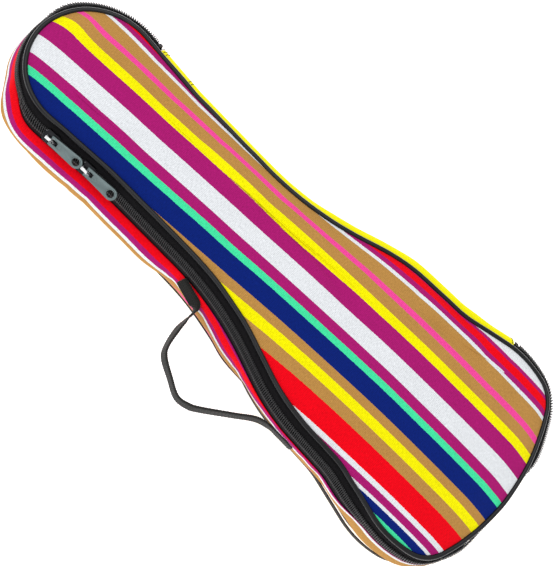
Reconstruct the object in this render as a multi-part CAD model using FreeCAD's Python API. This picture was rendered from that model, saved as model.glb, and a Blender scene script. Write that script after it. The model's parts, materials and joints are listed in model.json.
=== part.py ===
import FreeCAD, Part
import math
import os

# Padded bag for a soprano ukulele, lying on its back.  Millimetres.
# X right (hinge side), Y towards the head, Z up through the lid.

# front seam outline: right half, corner points of the straight runs and their round-off radii
BOTTOM_Y = -273.5
TOP_Y = 271.5
BOTTOM_CORNER_X = 37.6
BOTTOM_RADIUS = 194.0
LOWER_CORNER = (92.6, -251.6)
LOWER_RADIUS = 30.7
HIP_CORNER = (102.6, -214.5)
HIP_RADIUS = 87.0
WAIST_CORNER = (85.9, -147.3)
WAIST_RADIUS = 88.0
SHOULDER_CORNER = (82.3, -78.9)
SHOULDER_RADIUS = 174.0
NECK_HALF = 48.8
NECK_FOOT_Y = 14.0
NECK_FOOT_RADIUS = 290.0
HEAD_LENGTH = 121.5
NECK_HEAD_Y = TOP_Y - HEAD_LENGTH
NECK_HEAD_RADIUS = 120.0
HEAD_FLARE = 0.0739

# heights
SEAM_Z = 66.0
CROWN_RISE = 5.7
CROWN_EDGE_RISE = 2.4
CROWN_EDGE_RUN = 6.8
CROWN_RUN = 24.0
EDGE_LIFT = 0.8

# cloth, padding and clearances
FABRIC = 1.0
FOAM = 5.0
LINING = 0.6
TAPE = 0.8
BINDING = 1.0
BINDING_WIDTH = 6.0
GAP = 0.3

# wall, measured outward from the front seam outline
WALL = 14.7
WALL_DROP = 18.5
WALL_FOOT_Z = 6.0
FOAM_DROP = 6.7
WALL_TOP_Z = SEAM_Z - WALL_DROP
FOAM_TOP_Z = WALL_TOP_Z - FOAM_DROP
LAP_OUT = WALL - FABRIC - GAP
LINING_IN = LAP_OUT - FOAM - GAP - LINING

# piping
FRONT_PIPING_R = 2.2
FRONT_PIPING_Z = SEAM_Z + 0.2
BACK_PIPING_R = 2.0
BACK_PIPING_Z = 3.6
BACK_PIPING_OUT = WALL - 1.5

# back panel
BACK_INSET = LINING_IN - GAP
BACK_FLAT = BACK_INSET + 0.2
BACK_EDGE = BACK_PIPING_OUT - BACK_PIPING_R - GAP
BACK_LIFT = 2.6

# zip: chain centre, coil and its slope
CHAIN_DROP = 7.8
CHAIN_TILT = math.radians(45.0)
CHAIN_SPLIT = 0.75
COIL_WIDTH = 3.9
COIL_RISE = 2.2
COIL_FLOAT = 0.1
COIL_MARGIN = 0.1
CHAIN_OUT = LAP_OUT - math.sin(CHAIN_TILT) * (COIL_WIDTH + COIL_MARGIN)
HINGE_HEAD_Y = TOP_Y - 70.5
HINGE_FOOT_Y = -202.0
ZIP_END = 5.0
TACK_LENGTH = 3.0
TACK_RISE = 1.2

# hinge strip
STRIP_LAP = 5.0

# sliders and pull tabs
SLIDER_LENGTH = 16.6
SLIDER_PLATE = 1.2
SLIDER_SIDE = 1.0
SLIDER_UNDER_HALF = COIL_WIDTH - 0.4
SLIDER_PLAY_ACROSS = 0.7
SLIDER_PLAY_HIGH = 0.6
SLIDER_POST = 0.6
SLIDER_POST_LENGTH = 2.5
BRIDGE_HALF_LENGTH = 5.0
BRIDGE_WIDTH = 2.6
BRIDGE_BAR = 1.0
BRIDGE_OPENING = 2.6
CROSSBAR_R = 0.8
TAB_THICK = 1.4
TAB_REACH = 31.5
TAB_WIDTH = 11.0
TAB_NECK_WIDTH = 8.6
TAB_SLOT_WIDTH = 3.6
TAB_SLOT_END = 6.5
TAB_HOLE_R = 3.3
TAB_HOLE_REACH = 25.9
UPPER_SLIDER_Y = TOP_Y - 70.5
LOWER_SLIDER_Y = TOP_Y - 107.5

# carrying handle
WEBBING = 1.6
WEBBING_WIDTH = 11.0
HANDLE_Z = WALL_TOP_Z - 15.5
UPPER_END = (25.0, 49.0)
LOWER_END = (-114.0, -88.0)
HANDLE_PIVOT_OUT = WALL + 3.8
HANDLE_PIVOT_GAP = 1.0
HANDLE_PIVOT_Y = (UPPER_END[0] - HANDLE_PIVOT_GAP, LOWER_END[1] + HANDLE_PIVOT_GAP)
HANDLE_DROOP = math.radians(30.0)
LOOP_NEAR = (11.0, 47.0, 20.0)
LOOP_FAR = (58.0, 56.0, 22.0)
LOOP_ROOT_R = 1.6
LOOP_ROOT_LENGTH = 8.0
LOOP_TWIST = 10.0

UP = FreeCAD.Vector(0, 0, 1)


def vec(x, y, z=0.0):
    return FreeCAD.Vector(x, y, z)


def rounded_path(corners, closed=True):
    """Straight runs joined by tangent arcs: ("line", a, b) or ("arc", centre, r, a0, sweep)."""
    arcs = []
    count = len(corners)
    for i in range(count):
        x, y, r = corners[i]
        here = vec(x, y)
        if r == 0:
            arcs.append((here, here, None))
            continue
        before = vec(*corners[i - 1][:2]) - here
        after = vec(*corners[(i + 1) % count][:2]) - here
        before.normalize()
        after.normalize()
        half = before.getAngle(after) / 2
        reach = r / math.tan(half)
        middle = before + after
        middle.normalize()
        centre = here + middle * (r / math.sin(half))
        start = here + before * reach
        end = here + after * reach
        a0 = math.atan2(start.y - centre.y, start.x - centre.x)
        a1 = math.atan2(end.y - centre.y, end.x - centre.x)
        sweep = (a1 - a0 + math.pi) % (2 * math.pi) - math.pi
        arcs.append((start, end, ("arc", centre, r, a0, sweep)))
    path = []
    for i in range(count):
        if arcs[i][2]:
            path.append(arcs[i][2])
        if i == count - 1 and not closed:
            break
        a = arcs[i][1]
        b = arcs[(i + 1) % count][0]
        if (b - a).Length > 0.01:
            path.append(("line", a, b))
    return path


def seam_outline():
    """The front seam, anticlockwise from the right end of the bottom curve."""
    head_x = NECK_HALF + (TOP_Y - NECK_HEAD_Y) * HEAD_FLARE
    head_turn = math.pi / 2 + math.atan(HEAD_FLARE)
    head_radius = head_x / math.tan(head_turn / 2)
    right = [
        (BOTTOM_CORNER_X, BOTTOM_Y, BOTTOM_RADIUS),
        (LOWER_CORNER[0], LOWER_CORNER[1], LOWER_RADIUS),
        (HIP_CORNER[0], HIP_CORNER[1], HIP_RADIUS),
        (WAIST_CORNER[0], WAIST_CORNER[1], WAIST_RADIUS),
        (SHOULDER_CORNER[0], SHOULDER_CORNER[1], SHOULDER_RADIUS),
        (NECK_HALF, NECK_FOOT_Y, NECK_FOOT_RADIUS),
        (NECK_HALF, NECK_HEAD_Y, NECK_HEAD_RADIUS),
        (head_x, TOP_Y, head_radius * 0.9995),
    ]
    left = [(-x, y, r) for x, y, r in reversed(right)]
    return rounded_path(right + left)


def length_of(piece):
    if piece[0] == "line":
        return (piece[2] - piece[1]).Length
    return piece[2] * abs(piece[4])


def place_on(piece, along):
    """Point, direction of travel and outward normal at a distance along one piece."""
    if piece[0] == "line":
        travel = piece[2] - piece[1]
        travel.normalize()
        point = piece[1] + travel * along
    else:
        turn = along / piece[2] * math.copysign(1, piece[4])
        angle = piece[3] + turn
        spoke = vec(math.cos(angle), math.sin(angle))
        point = piece[1] + spoke * piece[2]
        travel = UP.cross(spoke) * math.copysign(1, piece[4])
    return point, travel, travel.cross(UP)


OUTLINE = seam_outline()
TOTAL = sum(length_of(p) for p in OUTLINE)


def place_at(distance):
    """Point, travel and outward normal at a distance round the outline."""
    distance = distance % TOTAL
    for piece in OUTLINE:
        if distance <= length_of(piece):
            return place_on(piece, distance)
        distance -= length_of(piece)
    return place_on(OUTLINE[-1], length_of(OUTLINE[-1]))


def right_side(y):
    """Distance round the outline where the right side reaches height y."""
    low = 0.0
    high = TOTAL / 2 - 60
    while high - low > 0.001:
        middle = (low + high) / 2
        if place_at(middle)[0].y < y:
            low = middle
        else:
            high = middle
    return low



def left_side(y):
    """Distance round the outline where the left side comes down to height y."""
    low = TOTAL / 2
    high = TOTAL - length_of(OUTLINE[0])
    while high - low > 0.001:
        middle = (low + high) / 2
        if place_at(middle)[0].y > y:
            low = middle
        else:
            high = middle
    return low


def stretch(start, end):
    """The outline's pieces between two distances, trimmed, with end past start."""
    found = []
    base = 0.0
    for lap in range(3):
        for piece in OUTLINE:
            size = length_of(piece)
            a = max(start, base) - base
            b = min(end, base + size) - base
            if b - a > 0.01:
                if piece[0] == "line":
                    first = place_on(piece, a)[0]
                    last = place_on(piece, b)[0]
                    found.append(("line", first, last))
                else:
                    sign = math.copysign(1, piece[4])
                    a0 = piece[3] + sign * a / piece[2]
                    found.append(("arc", piece[1], piece[2], a0, sign * (b - a) / piece[2]))
            base += size
    return found


def swept(profile, pieces):
    """Solid made by carrying a closed (out, z) profile along pieces of the outline."""
    solids = []
    for piece in pieces:
        point, travel, outward = place_on(piece, 0.0)
        corners = [point + outward * out + UP * z for out, z in profile]
        face = Part.Face(Part.makePolygon(corners + corners[:1]))
        solids.append(carried(face, piece))
    return joined(solids)


def carried(face, piece):
    if piece[0] == "line":
        return face.extrude(piece[2] - piece[1])
    return face.revolve(piece[1], UP, math.degrees(piece[4]))


def swept_round(out, z, radius, pieces):
    solids = []
    for piece in pieces:
        point, travel, outward = place_on(piece, 0.0)
        ring = Part.makeCircle(radius, point + outward * out + UP * z, travel)
        solids.append(carried(Part.Face(Part.Wire(ring)), piece))
    return joined(solids)


def joined(solids):
    if len(solids) == 1:
        return solids[0]
    return solids[0].multiFuse(solids[1:]).removeSplitter()


def offset_outline(out):
    """Closed wire at a constant distance outside the seam outline."""
    edges = []
    for piece in OUTLINE:
        a, travel, outward = place_on(piece, 0.0)
        a = a + outward * out
        middle, travel, outward = place_on(piece, length_of(piece) / 2)
        middle = middle + outward * out
        b, travel, outward = place_on(piece, length_of(piece))
        b = b + outward * out
        if piece[0] == "line":
            edges.append(Part.makeLine(a, b))
        else:
            edges.append(Part.Arc(a, middle, b).toShape())
    return Part.Wire(Part.__sortEdges__(edges))


def plate(out, low, high):
    face = Part.Face(offset_outline(out))
    face.translate(UP * low)
    return face.extrude(UP * (high - low))


def dished(top, thickness):
    """Panel: a flat middle and sloping edge, from the outer edge inward, given by its outer surface."""
    lower = [(out, z - thickness) for out, z in reversed(top)]
    rim = swept(top + lower, OUTLINE)
    inner_out, inner_z = top[-1]
    middle = plate(inner_out, inner_z - thickness, inner_z)
    return joined([rim, middle])


def banded(line, thickness):
    """Closed profile of a band, its outer face on an (out, z) line that runs downward and outward."""
    inner = []
    for i in range(len(line)):
        a = line[max(i - 1, 0)]
        b = line[min(i + 1, len(line) - 1)]
        normals = []
        for p, q in ((a, line[i]), (line[i], b)):
            run = math.hypot(q[0] - p[0], q[1] - p[1])
            if run > 1e-6:
                normals.append(((q[1] - p[1]) / run, -(q[0] - p[0]) / run))
        nx = sum(n[0] for n in normals) / len(normals)
        nz = sum(n[1] for n in normals) / len(normals)
        size = nx * nx + nz * nz
        inner.append((line[i][0] + nx / size * thickness, line[i][1] + nz / size * thickness))
    return line + inner[::-1]


ZIP_START = right_side(HINGE_HEAD_Y)
ZIP_STOP = TOTAL + right_side(HINGE_FOOT_Y)
HINGE_RUN = stretch(right_side(HINGE_FOOT_Y), ZIP_START)
ZIP_RUN = stretch(ZIP_START + GAP, ZIP_STOP - GAP)
CHAIN_RUN = stretch(ZIP_START + ZIP_END, ZIP_STOP - ZIP_END)
ALONG = (math.sin(CHAIN_TILT), -math.cos(CHAIN_TILT))
OFF = (math.cos(CHAIN_TILT), math.sin(CHAIN_TILT))
CHAIN_Z = SEAM_Z - CHAIN_DROP


def on_chain(across, rise):
    """(out, z) of a point across the chain and above its tape."""
    out = CHAIN_OUT + ALONG[0] * across + OFF[0] * rise
    return out, CHAIN_Z + ALONG[1] * across + OFF[1] * rise


def crown_line(depth):
    """Outer surface of a lid layer that lies a depth below the cloth's own."""
    edge = -0.2 if depth == 0 else -1.2
    return [
        (edge, SEAM_Z + EDGE_LIFT - depth),
        (-CROWN_EDGE_RUN, SEAM_Z + EDGE_LIFT + CROWN_EDGE_RISE - depth),
        (-CROWN_RUN, SEAM_Z + EDGE_LIFT + CROWN_RISE - depth),
    ]


def front_panel():
    foam_depth = FABRIC + GAP
    lining_depth = foam_depth + FOAM + GAP
    return {
        "front_outer_fabric": dished(crown_line(0), FABRIC),
        "front_foam": dished(crown_line(foam_depth), FOAM),
        "front_lining": dished(crown_line(lining_depth), LINING),
        "front_piping": swept_round(FRONT_PIPING_R, FRONT_PIPING_Z, FRONT_PIPING_R, OUTLINE),
    }


def front_binding():
    low = SEAM_Z + EDGE_LIFT - FABRIC - FOAM - LINING - 2 * GAP - 0.4
    high = FRONT_PIPING_Z - FRONT_PIPING_R + 0.2
    profile = [(-0.8, low), (0.7, low), (0.7, high), (-0.8, high)]
    return swept(profile, OUTLINE)


def back_panel():
    base = [(BACK_EDGE, BACK_LIFT + FABRIC), (BACK_FLAT, FABRIC)]
    rim = swept(base + [(BACK_FLAT, 0.0), (BACK_EDGE, BACK_LIFT)], OUTLINE)
    cloth = joined([rim, plate(BACK_FLAT, 0.0, FABRIC)])
    foam_low = FABRIC + GAP
    lining_low = foam_low + FOAM + GAP
    lining_top = lining_low + LINING
    binding = [
        (BACK_INSET - BINDING, lining_top + GAP),
        (BACK_INSET, lining_top + GAP),
        (BACK_INSET, lining_top + BINDING_WIDTH),
        (BACK_INSET - BINDING, lining_top + BINDING_WIDTH),
    ]
    return {
        "back_outer_fabric": cloth,
        "back_foam": plate(BACK_INSET, foam_low, foam_low + FOAM),
        "back_lining": plate(BACK_INSET, lining_low, lining_top),
        "back_piping": swept_round(BACK_PIPING_OUT, BACK_PIPING_Z, BACK_PIPING_R, OUTLINE),
        "back_seam_binding": swept(binding, OUTLINE),
    }


def wall_band(outer, thickness, low, high):
    profile = [(outer, low), (outer, high), (outer - thickness, high), (outer - thickness, low)]
    return swept(profile, OUTLINE)


def gusset():
    return {
        "gusset_outer_fabric": wall_band(WALL, FABRIC, WALL_FOOT_Z, WALL_TOP_Z),
        "gusset_foam": wall_band(LAP_OUT, FOAM, WALL_FOOT_Z + GAP, FOAM_TOP_Z),
        "gusset_lining": wall_band(LINING_IN + LINING, LINING, WALL_FOOT_Z + 2, FOAM_TOP_Z),
    }


def zip_tapes():
    under_piping = FRONT_PIPING_Z - FRONT_PIPING_R - GAP
    lid_line = [(1.0, under_piping), (3.6, under_piping - 0.1)]
    lid_line += [on_chain(-COIL_WIDTH - COIL_MARGIN, 0), on_chain(-CHAIN_SPLIT, 0)]
    bend = on_chain(COIL_WIDTH + COIL_MARGIN, 0)
    base_line = [on_chain(CHAIN_SPLIT, 0), bend, (LAP_OUT, FOAM_TOP_Z + GAP)]
    return {
        "lid_zip_tape": swept(banded(lid_line, TAPE), ZIP_RUN),
        "base_zip_tape": swept(banded(base_line, TAPE), ZIP_RUN),
    }


def coil_half(side):
    inner = side * CHAIN_SPLIT
    outer = side * COIL_WIDTH
    foot = COIL_FLOAT
    corners = [(inner, foot), (outer, foot), (outer, COIL_RISE - 0.5), (outer - side * 0.6, COIL_RISE)]
    corners += [(inner, COIL_RISE)]
    return swept([on_chain(a, r) for a, r in corners], CHAIN_RUN)


def end_tack(start):
    corners = [(-COIL_WIDTH, 0.15), (COIL_WIDTH, 0.15)]
    corners += [(COIL_WIDTH, TACK_RISE), (-COIL_WIDTH, TACK_RISE)]
    return swept([on_chain(a, r) for a, r in corners], stretch(start, start + TACK_LENGTH))


def hinge_strip():
    outer = WALL + GAP + FABRIC
    line = [
        (2 * FRONT_PIPING_R - 0.1, SEAM_Z - 1.3),
        (CHAIN_OUT, SEAM_Z - 5.0),
        (outer, SEAM_Z - 12.0),
        (outer, WALL_TOP_Z - STRIP_LAP),
    ]
    return swept(banded(line, FABRIC), HINGE_RUN)


def slider_axes(y, tilt):
    """Where a slider's own axes lie: origin at the chain centre, travel, across and off the tape."""
    point, travel, outward = place_at(left_side(y))
    origin = point + outward * CHAIN_OUT + UP * CHAIN_Z
    ahead = vec(-math.sin(tilt), math.cos(tilt))
    away = vec(-math.cos(tilt), -math.sin(tilt))
    across = away * ALONG[0] + UP * ALONG[1]
    off = away * OFF[0] + UP * OFF[1]
    return origin, ahead, across, off


def block(axes, lengths, acrosses, offs):
    origin, ahead, across, off = axes
    corners = []
    for a, b in ((0, 0), (1, 0), (1, 1), (0, 1)):
        corners.append(origin + ahead * lengths[0] + across * acrosses[a] + off * offs[b])
    face = Part.Face(Part.makePolygon(corners + corners[:1]))
    return face.extrude(ahead * (lengths[1] - lengths[0]))


def prism(axes, outline, low, high):
    """Extrude an (ahead, across) outline of points off the tape from low to high."""
    origin, ahead, across, off = axes
    corners = [origin + ahead * a + across * b + off * low for a, b in outline]
    face = Part.Face(Part.makePolygon(corners + corners[:1]))
    return face.extrude(off * (high - low))


SLIDER_TOP = COIL_RISE + SLIDER_PLAY_HIGH + SLIDER_PLATE
CROSSBAR_RISE = SLIDER_TOP + BRIDGE_OPENING / 2


def slider_body(axes):
    half = SLIDER_LENGTH / 2
    inner = COIL_WIDTH + SLIDER_PLAY_ACROSS
    outer = inner + SLIDER_SIDE
    nose = outer - 2.6
    top_low = COIL_RISE + SLIDER_PLAY_HIGH
    under = -TAPE - SLIDER_PLAY_HIGH
    plate_line = [(-half, -nose), (-half + 4, -outer), (half - 2, -outer), (half, -outer + 2)]
    plate_line += [(half, outer - 2), (half - 2, outer), (-half + 4, outer), (-half, nose)]
    parts = [prism(axes, plate_line, top_low, SLIDER_TOP)]
    below = (-SLIDER_UNDER_HALF, SLIDER_UNDER_HALF)
    parts.append(block(axes, (-half + 2, half - 1), below, (under - SLIDER_PLATE, under)))
    for side in (-1, 1):
        walls = sorted((side * inner, side * outer))
        parts.append(block(axes, (-half + 4, half - 2), walls, (0.5, top_low)))
    post = (-SLIDER_POST / 2, SLIDER_POST / 2)
    reach = (-SLIDER_POST_LENGTH / 2, SLIDER_POST_LENGTH / 2)
    parts.append(block(axes, reach, post, (under, top_low)))
    return joined(parts)


def slider_bridge(axes):
    width = (-BRIDGE_WIDTH / 2, BRIDGE_WIDTH / 2)
    ceiling = SLIDER_TOP + BRIDGE_OPENING
    high = ceiling + BRIDGE_BAR
    ends = (-BRIDGE_HALF_LENGTH, BRIDGE_HALF_LENGTH)
    parts = [block(axes, ends, width, (ceiling, high))]
    for side in (-1, 1):
        foot = sorted((side * BRIDGE_HALF_LENGTH, side * (BRIDGE_HALF_LENGTH - BRIDGE_BAR)))
        parts.append(block(axes, foot, width, (SLIDER_TOP, ceiling)))
    return joined(parts)


def pull_tab(axes):
    """Flat tab hanging from a round crossbar under the bridge, with a cord hole near its end."""
    origin, ahead, across, off = axes
    neck = TAB_NECK_WIDTH / 2
    wide = TAB_WIDTH / 2
    low = CROSSBAR_RISE - TAB_THICK / 2
    high = CROSSBAR_RISE + TAB_THICK / 2
    end = TAB_REACH - wide
    centre = origin + off * low

    def at(a, b):
        return centre - ahead * a + across * b

    edges = [Part.makeLine(at(0, -neck), at(end, -wide))]
    edges.append(Part.Arc(at(end, -wide), at(TAB_REACH, 0), at(end, wide)).toShape())
    edges.append(Part.makeLine(at(end, wide), at(0, neck)))
    edges.append(Part.makeLine(at(0, neck), at(0, -neck)))
    tab = Part.Face(Part.Wire(edges)).extrude(off * (high - low))
    slot = block(axes, (-TAB_SLOT_END, 1), (-TAB_SLOT_WIDTH / 2, TAB_SLOT_WIDTH / 2), (low - 1, high + 1))
    bar = Part.makeCylinder(CROSSBAR_R, 2 * neck, origin + off * CROSSBAR_RISE - across * neck, across)
    hole_at = origin - ahead * TAB_HOLE_REACH + off * (low - 1)
    hole = Part.makeCylinder(TAB_HOLE_R, TAB_THICK + 2, hole_at, off)
    return joined([tab.cut(slot), bar]).cut(hole)


def handle_end(span):
    inner = WALL + GAP
    outer = inner + WEBBING
    low = HANDLE_Z - WEBBING_WIDTH / 2
    high = HANDLE_Z + WEBBING_WIDTH / 2
    profile = [(inner, low), (outer, low), (outer, high), (inner, high)]
    return swept(profile, stretch(left_side(span[1]), left_side(span[0])))


def handle_pivots():
    ends = []
    for y in HANDLE_PIVOT_Y:
        point, travel, outward = place_at(left_side(y))
        ends.append(point + outward * HANDLE_PIVOT_OUT + UP * HANDLE_Z)
    return ends


def webbing_loop():
    """Loop of webbing edge-on to its own plane, tapering where it folds into the sewn ends."""
    first, last = handle_pivots()
    along = last - first
    span = along.Length
    along.normalize()
    away = along.cross(UP)
    if away.x > 0:
        away = away * -1
    out = away * math.cos(HANDLE_DROOP) - UP * math.sin(HANDLE_DROOP)
    side = along.cross(out)
    side.normalize()
    corners = [(0, 0, 0), LOOP_NEAR, LOOP_FAR, (span, 0, 0)]
    band = []
    half = WEBBING_WIDTH / 2
    for piece in rounded_path(corners, closed=False):
        if piece[0] == "line":
            a, b = piece[1], piece[2]
            run = b - a
            run.normalize()
            edge = run.cross(UP) * (WEBBING / 2)
            flat = [a - edge, b - edge, b + edge, a + edge]
            face = Part.Face(Part.makePolygon(flat + flat[:1]))
            band.append(face.extrude(UP * WEBBING_WIDTH))
        else:
            centre, r, a0, sweep = piece[1:]
            turn = math.degrees(sweep)
            spoke = vec(math.cos(a0), math.sin(a0))
            near = centre + spoke * (r - WEBBING / 2)
            far = centre + spoke * (r + WEBBING / 2)
            tall = UP * WEBBING_WIDTH
            face = Part.Face(Part.makePolygon([near, far, far + tall, near + tall, near]))
            band.append(face.revolve(centre, UP, turn))
    loop = joined(band)
    loop.translate(UP * -half)
    depth = LOOP_FAR[1] + 10
    root = LOOP_ROOT_R
    cut = [(0, -root), (LOOP_TWIST, -half - 1), (depth, -half - 1)]
    cut += [(depth, half + 1), (LOOP_TWIST, half + 1), (0, root)]
    face = Part.Face(Part.makePolygon([vec(-20, q, w) for q, w in cut + cut[:1]]))
    loop = loop.common(face.extrude(vec(span + 40, 0, 0)))
    nubs = []
    for start in (0.0, span - LOOP_ROOT_LENGTH):
        nubs.append(Part.makeCylinder(root, LOOP_ROOT_LENGTH, vec(start, 0, 0), vec(1, 0, 0)))
    loop = joined([loop] + nubs)
    frame = FreeCAD.Matrix(
        along.x, out.x, side.x, first.x,
        along.y, out.y, side.y, first.y,
        along.z, out.z, side.z, first.z,
        0, 0, 0, 1,
    )
    loop.Placement = FreeCAD.Placement(frame)
    return loop


def build():
    nodes = {}
    nodes.update(back_panel())
    nodes.update(gusset())
    nodes.update(zip_tapes())
    nodes.update(front_panel())
    nodes["front_seam_binding"] = front_binding()
    nodes["lid_zip_coil"] = coil_half(-1)
    nodes["base_zip_coil"] = coil_half(1)
    nodes["zip_end_tack_head"] = end_tack(ZIP_START + 1.0)
    nodes["zip_end_tack_foot"] = end_tack(ZIP_STOP - 1.0 - TACK_LENGTH)
    nodes["hinge_strip"] = hinge_strip()
    flare = math.atan(HEAD_FLARE)
    upper = slider_axes(UPPER_SLIDER_Y, flare)
    lower = slider_axes(LOWER_SLIDER_Y, flare / 2)
    nodes["slider_upper_body"] = slider_body(upper)
    nodes["slider_upper_bridge"] = slider_bridge(upper)
    nodes["pull_tab_upper"] = pull_tab(upper)
    nodes["slider_lower_body"] = slider_body(lower)
    nodes["slider_lower_bridge"] = slider_bridge(lower)
    nodes["pull_tab_lower"] = pull_tab(lower)
    nodes["handle_end_upper"] = handle_end(UPPER_END)
    nodes["handle_end_lower"] = handle_end(LOWER_END)
    nodes["handle_webbing"] = webbing_loop()
    return nodes


os.makedirs("parts", exist_ok=True)
for name, shape in build().items():
    solid = shape.Solids[0]
    if len(shape.Solids) != 1 or not solid.isValid():
        raise SystemExit(name + " is not one sound solid")
    solid.exportStep("parts/" + name + ".step")
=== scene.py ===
import bmesh
import bpy
import json
import math
from mathutils import Euler, Matrix, Vector, noise
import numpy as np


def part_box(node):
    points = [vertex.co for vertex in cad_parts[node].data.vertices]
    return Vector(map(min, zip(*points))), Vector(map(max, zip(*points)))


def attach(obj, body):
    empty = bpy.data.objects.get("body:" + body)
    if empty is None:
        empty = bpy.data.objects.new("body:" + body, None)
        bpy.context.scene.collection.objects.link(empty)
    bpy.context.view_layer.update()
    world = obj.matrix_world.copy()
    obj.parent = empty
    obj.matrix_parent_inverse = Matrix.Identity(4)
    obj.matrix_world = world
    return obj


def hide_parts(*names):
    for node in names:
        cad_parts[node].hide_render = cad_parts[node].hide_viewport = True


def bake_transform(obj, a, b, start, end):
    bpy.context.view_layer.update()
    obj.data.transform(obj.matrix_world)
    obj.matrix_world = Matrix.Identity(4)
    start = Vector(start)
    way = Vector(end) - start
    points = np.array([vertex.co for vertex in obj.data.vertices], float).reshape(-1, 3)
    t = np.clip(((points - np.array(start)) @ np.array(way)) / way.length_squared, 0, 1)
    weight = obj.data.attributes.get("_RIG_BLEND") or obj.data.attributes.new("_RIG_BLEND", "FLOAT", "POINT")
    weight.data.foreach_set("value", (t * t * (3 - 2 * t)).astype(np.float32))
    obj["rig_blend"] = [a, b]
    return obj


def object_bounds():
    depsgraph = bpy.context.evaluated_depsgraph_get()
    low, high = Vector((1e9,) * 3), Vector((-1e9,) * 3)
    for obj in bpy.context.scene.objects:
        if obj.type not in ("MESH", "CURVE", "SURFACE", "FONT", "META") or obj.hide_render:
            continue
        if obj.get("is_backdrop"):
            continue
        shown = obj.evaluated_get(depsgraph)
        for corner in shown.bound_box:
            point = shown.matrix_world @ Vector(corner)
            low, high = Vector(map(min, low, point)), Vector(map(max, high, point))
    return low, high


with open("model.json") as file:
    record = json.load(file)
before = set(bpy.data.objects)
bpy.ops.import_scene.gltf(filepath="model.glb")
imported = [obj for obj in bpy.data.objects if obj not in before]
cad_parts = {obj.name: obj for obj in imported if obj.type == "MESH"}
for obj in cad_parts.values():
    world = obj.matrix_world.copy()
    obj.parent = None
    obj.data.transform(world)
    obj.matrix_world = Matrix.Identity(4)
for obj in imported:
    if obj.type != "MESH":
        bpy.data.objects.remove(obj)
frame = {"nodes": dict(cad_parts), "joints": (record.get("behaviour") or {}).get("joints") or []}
cad_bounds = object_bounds()
scene = bpy.context.scene

# ---- Studio ----
# A pale floor under the bag, a broad soft light overhead, a weaker one from the left and a
# bright room. The camera looks down steeply from the zip side.


def new_material(name):
    """A new node material, its tree and its Principled shader."""
    material = bpy.data.materials.new(name)
    material.use_nodes = True
    return material, material.node_tree, material.node_tree.nodes["Principled BSDF"]


bpy.ops.object.select_all(action="DESELECT")
scene.view_settings.view_transform = "Standard"
floor_z = min(0.0, cad_bounds[0].z) - 0.0004
bpy.ops.mesh.primitive_plane_add(size=8.0, location=(0, 0, floor_z))
floor = bpy.context.active_object
floor.name = "studio_floor"
floor_paint, tree, floor_shader = new_material("studio_floor")
floor_shader.inputs["Base Color"].default_value = (0.96, 0.96, 0.96, 1)
floor_shader.inputs["Roughness"].default_value = 0.9
floor_shader.inputs["Specular IOR Level"].default_value = 0.1
floor_shader.inputs["Emission Color"].default_value = (1, 1, 1, 1)
floor_shader.inputs["Emission Strength"].default_value = 0.8
floor.data.materials.append(floor_paint)
floor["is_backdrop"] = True

room = bpy.data.worlds.new("studio_room")
room.use_nodes = True
room.node_tree.nodes["Background"].inputs["Color"].default_value = (1, 1, 1, 1)
room.node_tree.nodes["Background"].inputs["Strength"].default_value = 0.78
scene.world = room

for label, place, size, watts in (
    ("overhead_softbox", (0.25, 0.35, 1.7), 1.6, 9.0),
    ("side_softbox", (-1.5, 0.2, 0.9), 1.0, 3.0),
):
    lamp = bpy.data.lights.new(label, "AREA")
    lamp.shape = "DISK"
    lamp.size = size
    lamp.energy = watts
    stand = bpy.data.objects.new(label, lamp)
    stand.location = place
    stand.rotation_euler = (-Vector(place)).to_track_quat("-Z", "Y").to_euler()
    scene.collection.objects.link(stand)

camera = bpy.data.cameras.new("camera")
camera.lens = 63.4
camera.sensor_width = 36.0
camera.shift_x = -0.0105
camera.shift_y = -0.0361
tripod = bpy.data.objects.new("camera", camera)
AIM = Vector((0, 0, 0.066))
DISTANCE = 0.827
view = Euler([math.radians(angle) for angle in (14.99, -19.34, -47.87)])
tripod.rotation_euler = view
tripod.location = AIM + view.to_matrix() @ Vector((0, 0, DISTANCE))
scene.collection.objects.link(tripod)
scene.camera = tripod

# ---- Lid panel ----
# Striped cotton over a 5 mm foam pad, sewn into the front seam all round. The cloth is cut a
# little full, so the pad crowns and puckers slightly where the seam holds it.
# Right half of the front seam from foot to head: each corner's x and y, and the radius of the
# arc that rounds it.
seam_corners = [
    (0.0376, -0.2735, 0.194),
    (0.0926, -0.2516, 0.0307),
    (0.1026, -0.2145, 0.087),
    (0.0859, -0.1473, 0.088),
    (0.0823, -0.0789, 0.174),
    (0.0488, 0.014, 0.290),
    (0.0488, 0.150, 0.120),
    (0.0578, 0.2715, 0.05364),
]
seam_corners += [(-x, y, r) for x, y, r in reversed(seam_corners)]
STATIONS = 480


def seam_runs(corners):
    """The front seam as straight runs and arcs: length, kind, and what seam_point reads."""
    bends = []
    for i, (x, y, radius) in enumerate(corners):
        here = Vector((x, y))
        before = (Vector(corners[i - 1][:2]) - here).normalized()
        after = (Vector(corners[(i + 1) % len(corners)][:2]) - here).normalized()
        half = before.angle(after) / 2
        reach = radius / math.tan(half)
        centre = here + (before + after).normalized() * (radius / math.sin(half))
        start, end = here + before * reach, here + after * reach
        a0 = math.atan2(start.y - centre.y, start.x - centre.x)
        a1 = math.atan2(end.y - centre.y, end.x - centre.x)
        sweep = (a1 - a0 + math.pi) % (2 * math.pi) - math.pi
        bends.append((start, end, centre, radius, a0, sweep))
    runs = []
    for i, (start, end, centre, radius, a0, sweep) in enumerate(bends):
        runs.append((radius * abs(sweep), "arc", centre, radius, a0, math.copysign(1, sweep)))
        onward = bends[(i + 1) % len(bends)][0] - end
        runs.append((onward.length, "line", end, onward.normalized(), 0, 0))
    return runs


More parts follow.
